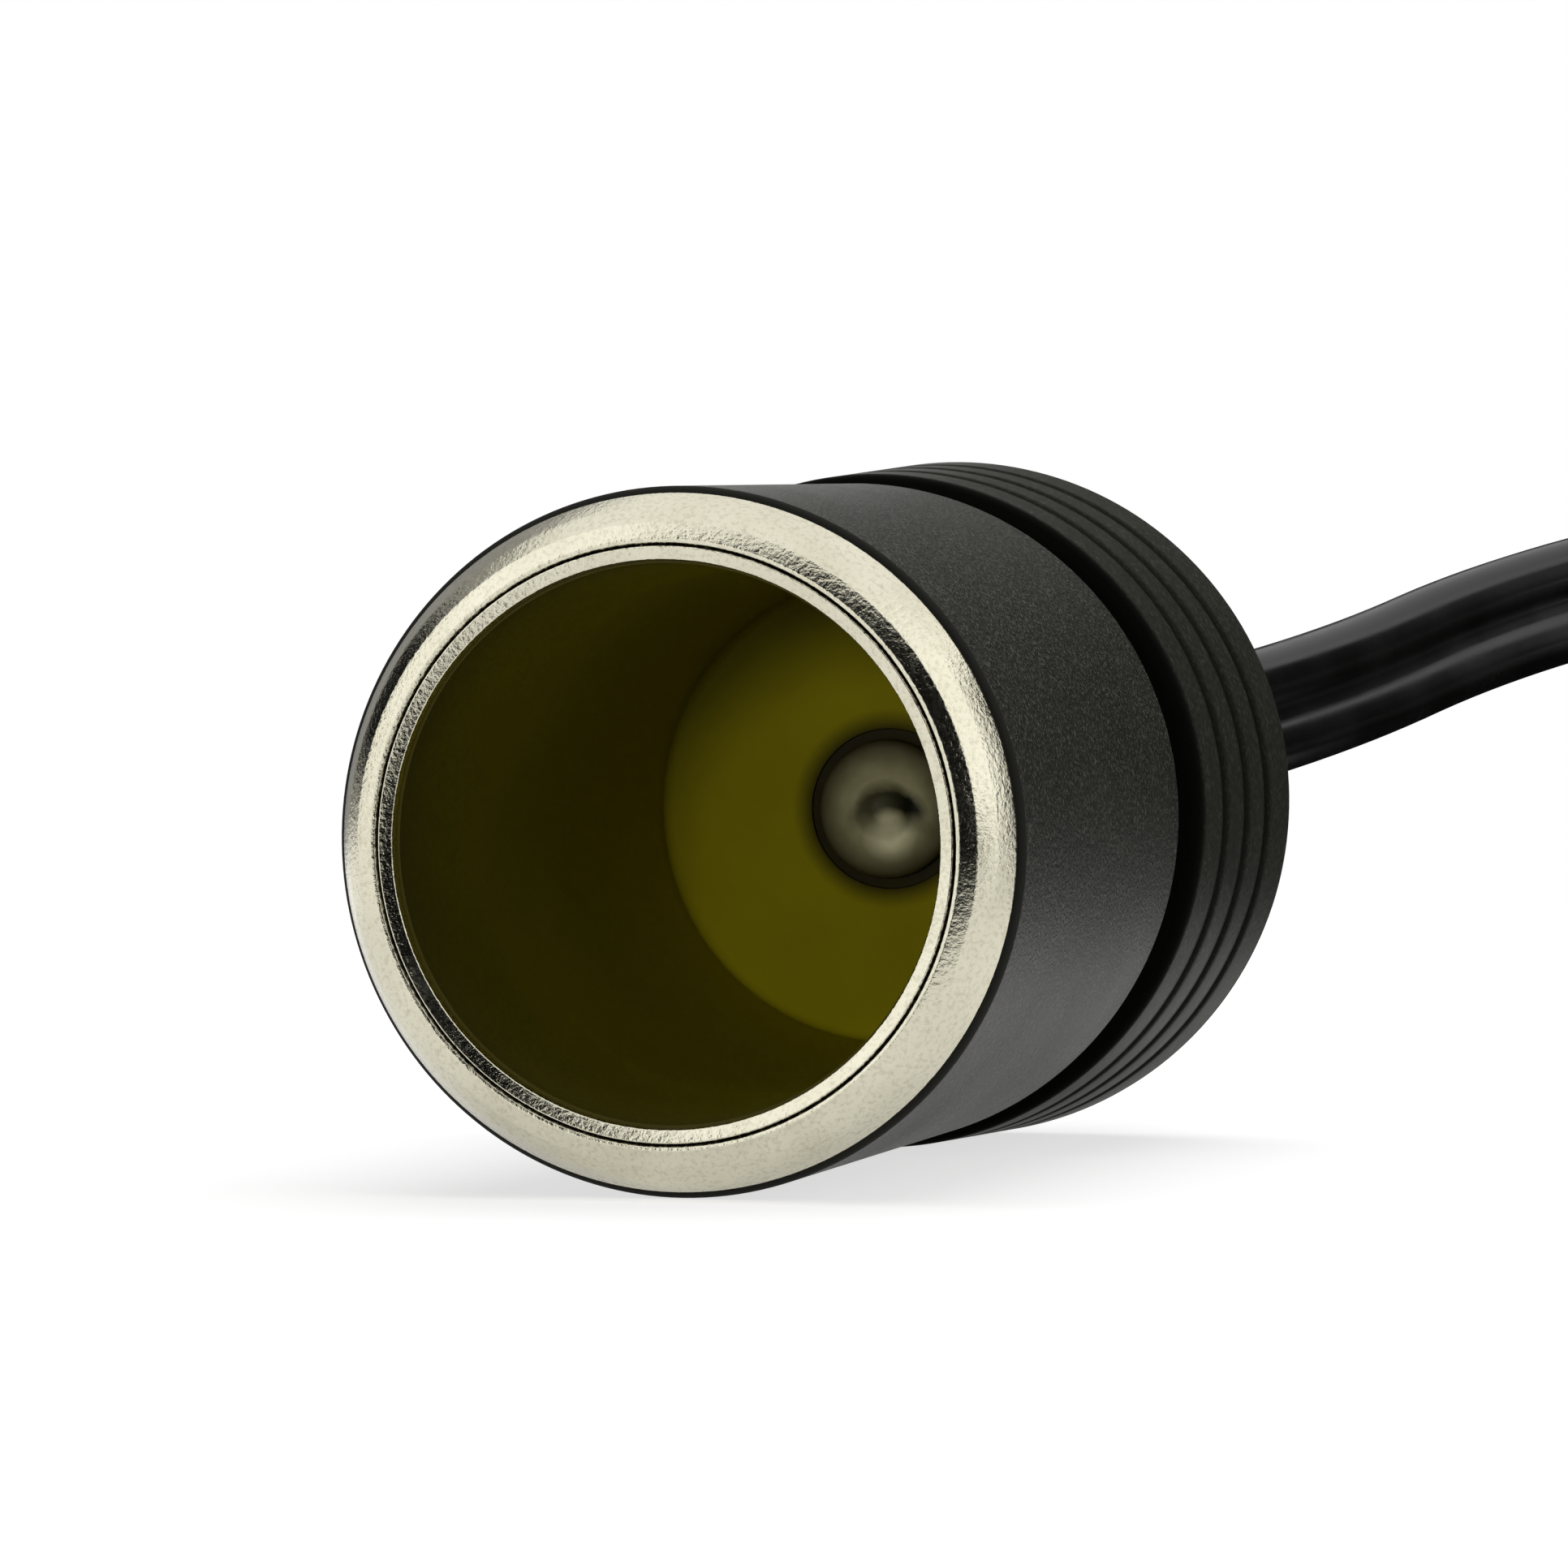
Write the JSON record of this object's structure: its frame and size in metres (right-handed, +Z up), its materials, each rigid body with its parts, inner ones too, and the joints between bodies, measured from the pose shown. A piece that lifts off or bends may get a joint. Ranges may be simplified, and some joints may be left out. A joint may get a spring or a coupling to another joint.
{
  "type": "cigarette lighter socket lead",
  "caption": "Round car lighter socket with a metal cup, bright mouth ring and ribbed rear cap, on a flat twin lead that ends in a fused plug.",
  "frame": {"origin": "middle of the footprint of the socket, without its lead, on the surface that it lies on", "axes": "+Y from the socket's mouth towards its lead, +Z up, +X to the right seen from the mouth"},
  "size_m": [0.1246, 0.1237, 0.0335],
  "materials": {
    "mouth_nickel": "satin nickel, fine grained",
    "cup_olive": "dull yellow passivated steel",
    "contact_nickel": "dull nickel with a pressed centre",
    "housing_black": "fine spark-eroded black",
    "cap_black": "black, a little smoother than the housing",
    "insulator_card": "brown pressed insulator",
    "tag_brass": "stamped brass",
    "core_red": "red insulation",
    "core_black": "black insulation",
    "lead_black": "glossy black flexible insulation",
    "relief_black": "soft black",
    "plug_black": "satin black moulding",
    "trim_black": "smoother black moulding",
    "plug_nickel": "bright nickel plate",
    "fuse_clear": "clear glass tube",
    "fuse_wire": "tinned wire",
    "tie_grey": "woven hook and loop strap"
  },
  "bodies": {
    "socket": {"mouth_ring": "mouth_nickel", "contact_cup": "cup_olive", "housing_sleeve": "housing_black", "rear_cap": "cap_black", "centre_contact": "contact_nickel", "contact_bush": "insulator_card", "back_washer": "insulator_card", "positive_tag": "tag_brass", "earth_tag": "tag_brass", "positive_core": "core_red", "negative_core": "core_black", "cord_grommet": "relief_black", "socket_inner_end": "lead_black", "plug_shell_upper": "plug_black", "plug_shell_lower": "plug_black", "nose_cap": "trim_black", "fuse_spring": "fuse_wire", "fuse_terminal": "tag_brass", "earth_clip": "tag_brass", "plug_positive_core": "core_red", "plug_negative_core": "core_black", "grip_ring": "trim_black", "plug_relief": "relief_black", "plug_inner_cord": "lead_black", "lead_cord": "lead_black", "tail_cord": "lead_black", "lead_coil": "lead_black", "coil_tie": "tie_grey"},
    "tip": {"tip_pin": "plug_nickel", "fuse_cap_front": "plug_nickel", "fuse_cap_rear": "plug_nickel", "fuse_glass": "fuse_clear", "fuse_link": "fuse_wire"},
    "strip_right": {"side_strip_right": "plug_nickel"},
    "strip_left": {"side_strip_left": "plug_nickel"}
  },
  "joints": [
    {"name": "tip_press", "type": "slide", "parent": "socket", "child": "tip", "axis": [0.5728, 0.818, 0.0533], "range_m": [0, 0.004], "stiffness_N_per_m": 800, "springref_m": -0.002, "deforming": ["fuse_spring"]},
    {"name": "strip_right_press", "type": "slide", "parent": "socket", "child": "strip_right", "axis": [-0.8192, 0.5736, 0], "range_m": [0, 0.0012], "stiffness_N_per_m": 1500, "springref_m": -0.001},
    {"name": "strip_left_press", "type": "slide", "parent": "socket", "child": "strip_left", "axis": [0.8192, -0.5736, 0], "range_m": [0, 0.0012], "stiffness_N_per_m": 1500, "springref_m": -0.001}
  ]
}
